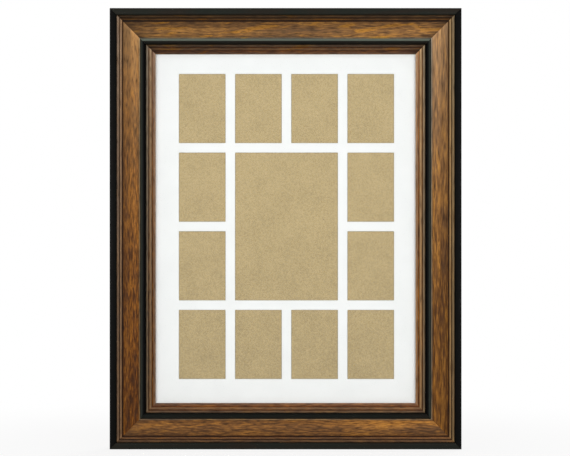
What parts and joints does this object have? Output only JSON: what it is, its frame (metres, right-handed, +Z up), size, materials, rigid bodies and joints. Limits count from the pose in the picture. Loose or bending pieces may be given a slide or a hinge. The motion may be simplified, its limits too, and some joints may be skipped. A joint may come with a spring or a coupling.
{
  "type": "collage photo frame",
  "caption": "Wall-hung collage photo frame: mitred black and walnut moulding round a glazed mat with a grid of small photo windows and a large middle one.",
  "frame": {"origin": "centre of the rectangular outline, on the wall plane that the rubber bumpers touch", "axes": "+X to the viewer's right, +Z up, +Y into the wall; the glazed front faces -Y"},
  "size_m": [0.3948, 0.0298, 0.4952],
  "materials": {
    "moulding": "walnut scoop and inner beads, black lacquered outer band, side and inner bead",
    "clear_glass": "clear",
    "mat_board": "smooth white",
    "kraft_board": "plain kraft",
    "hardboard": "pressed fibre board",
    "zinc_steel": "zinc plated",
    "bumper_rubber": "matt black"
  },
  "bodies": {
    "frame": {"top_rail": "moulding", "bottom_rail": "moulding", "left_rail": "moulding", "right_rail": "moulding", "glass_pane": "clear_glass", "window_mat": "mat_board", "kraft_backing_sheet": "kraft_board", "rear_backing_board": "hardboard", "turn_button_screws": "zinc_steel", "hanger_strap_left": "zinc_steel", "hanger_strap_right": "zinc_steel", "hanger_screws": "zinc_steel", "v_nails": "zinc_steel", "bumper_left": "bumper_rubber", "bumper_right": "bumper_rubber"},
    "turn_button_top_left": {"turn_button_top_left": "zinc_steel"},
    "turn_button_top_right": {"turn_button_top_right": "zinc_steel"},
    "turn_button_bottom_left": {"turn_button_bottom_left": "zinc_steel"},
    "turn_button_bottom_right": {"turn_button_bottom_right": "zinc_steel"},
    "turn_button_left_upper": {"turn_button_left_upper": "zinc_steel"},
    "turn_button_left_lower": {"turn_button_left_lower": "zinc_steel"},
    "turn_button_right_upper": {"turn_button_right_upper": "zinc_steel"},
    "turn_button_right_lower": {"turn_button_right_lower": "zinc_steel"},
    "hanger_ring_left": {"hanger_ring_left": "zinc_steel"},
    "hanger_ring_right": {"hanger_ring_right": "zinc_steel"}
  },
  "joints": [
    {"name": "turn_top_left_pivot", "type": "hinge", "parent": "frame", "child": "turn_button_top_left", "pos_m": [-0.085, -0.0048, 0.2102], "axis": [0, 1, 0], "continuous": true},
    {"name": "turn_top_right_pivot", "type": "hinge", "parent": "frame", "child": "turn_button_top_right", "pos_m": [0.085, -0.0048, 0.2102], "axis": [0, 1, 0], "continuous": true},
    {"name": "turn_bottom_left_pivot", "type": "hinge", "parent": "frame", "child": "turn_button_bottom_left", "pos_m": [-0.085, -0.0048, -0.2102], "axis": [0, 1, 0], "continuous": true},
    {"name": "turn_bottom_right_pivot", "type": "hinge", "parent": "frame", "child": "turn_button_bottom_right", "pos_m": [0.085, -0.0048, -0.2102], "axis": [0, 1, 0], "continuous": true},
    {"name": "turn_left_upper_pivot", "type": "hinge", "parent": "frame", "child": "turn_button_left_upper", "pos_m": [-0.16, -0.0048, 0.135], "axis": [0, 1, 0], "continuous": true},
    {"name": "turn_left_lower_pivot", "type": "hinge", "parent": "frame", "child": "turn_button_left_lower", "pos_m": [-0.16, -0.0048, -0.135], "axis": [0, 1, 0], "continuous": true},
    {"name": "turn_right_upper_pivot", "type": "hinge", "parent": "frame", "child": "turn_button_right_upper", "pos_m": [0.16, -0.0048, 0.135], "axis": [0, 1, 0], "continuous": true},
    {"name": "turn_right_lower_pivot", "type": "hinge", "parent": "frame", "child": "turn_button_right_lower", "pos_m": [0.16, -0.0048, -0.135], "axis": [0, 1, 0], "continuous": true},
    {"name": "ring_left_swing", "type": "hinge", "parent": "frame", "child": "hanger_ring_left", "pos_m": [-0.1615, -0.00272, 0.08265], "axis": [0, 0, 1], "range_deg": [0, 160]},
    {"name": "ring_right_swing", "type": "hinge", "parent": "frame", "child": "hanger_ring_right", "pos_m": [0.1615, -0.00272, 0.08265], "axis": [0, 0, -1], "range_deg": [0, 160]}
  ]
}
